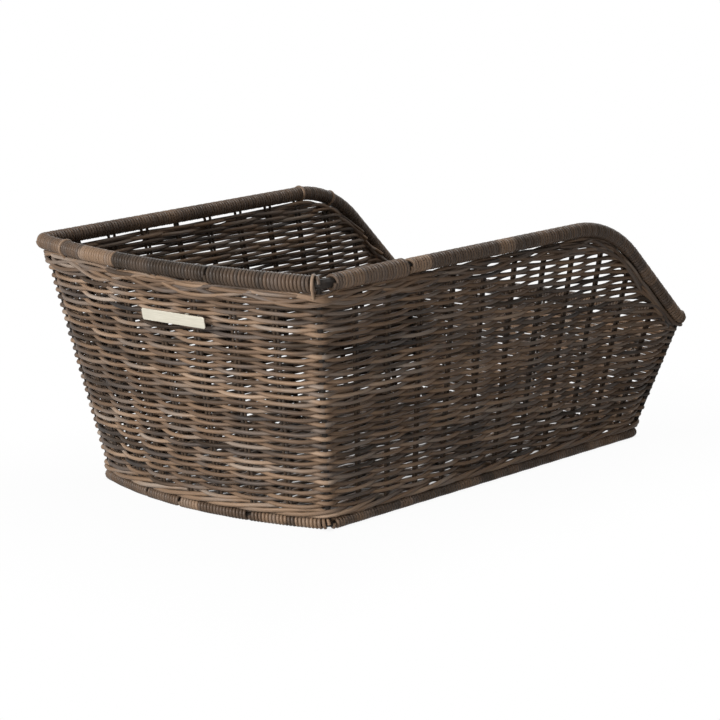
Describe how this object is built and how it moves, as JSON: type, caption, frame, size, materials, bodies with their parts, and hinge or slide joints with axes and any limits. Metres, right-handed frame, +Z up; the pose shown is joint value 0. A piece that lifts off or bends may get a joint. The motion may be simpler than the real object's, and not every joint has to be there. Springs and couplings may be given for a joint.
{
  "type": "bicycle basket",
  "caption": "Open woven basket for a bicycle's rear carrier: wire frame, bound rim that drops to a low front, woven floor and bare label plate.",
  "frame": {"origin": "on the ground under the middle of the basket's bounding box", "axes": "+Z up, +Y along the basket towards the low front wall by the saddle, -Y towards the bowed rear wall with the label plate, +X to the right seen from behind the rear wall"},
  "size_m": [0.325, 0.509, 0.2085],
  "materials": {
    "steel": "dark satin coating",
    "weaver": "streaked brown synthetic cane, satin",
    "stake": "dark brown synthetic cane, satin",
    "binding": "brown synthetic cane wound close, satin",
    "label": "pale brushed nickel, bare"
  },
  "bodies": {
    "root": {"rim_hoop": "steel", "base_hoop": "steel", "corner_post_rear_right": "steel", "corner_post_front_right": "steel", "corner_post_front_left": "steel", "corner_post_rear_left": "steel", "floor_ladder": "steel", "rim_wrap_rear": "binding", "rim_wrap_right": "binding", "rim_wrap_front": "binding", "rim_wrap_left": "binding", "base_wrap_rear": "binding", "base_wrap_right": "binding", "base_wrap_front": "binding", "base_wrap_left": "binding", "stake_rear_1": "stake", "stake_rear_2": "stake", "stake_rear_3": "stake", "stake_rear_4": "stake", "stake_rear_5": "stake", "stake_rear_6": "stake", "stake_rear_7": "stake", "stake_right_1": "stake", "stake_right_2": "stake", "stake_right_3": "stake", "stake_right_4": "stake", "stake_right_5": "stake", "stake_right_6": "stake", "stake_right_7": "stake", "stake_right_8": "stake", "stake_right_9": "stake", "stake_right_10": "stake", "stake_right_11": "stake", "stake_front_1": "stake", "stake_front_2": "stake", "stake_front_3": "stake", "stake_front_4": "stake", "stake_front_5": "stake", "stake_front_6": "stake", "stake_front_7": "stake", "stake_left_1": "stake", "stake_left_2": "stake", "stake_left_3": "stake", "stake_left_4": "stake", "stake_left_5": "stake", "stake_left_6": "stake", "stake_left_7": "stake", "stake_left_8": "stake", "stake_left_9": "stake", "stake_left_10": "stake", "stake_left_11": "stake", "weave_rear_left": "weaver", "weave_rear_middle": "weaver", "weave_rear_right": "weaver", "weave_right": "weaver", "weave_front": "weaver", "weave_left": "weaver", "floor_weave": "weaver", "label_plate": "label"}
  },
  "joints": []
}
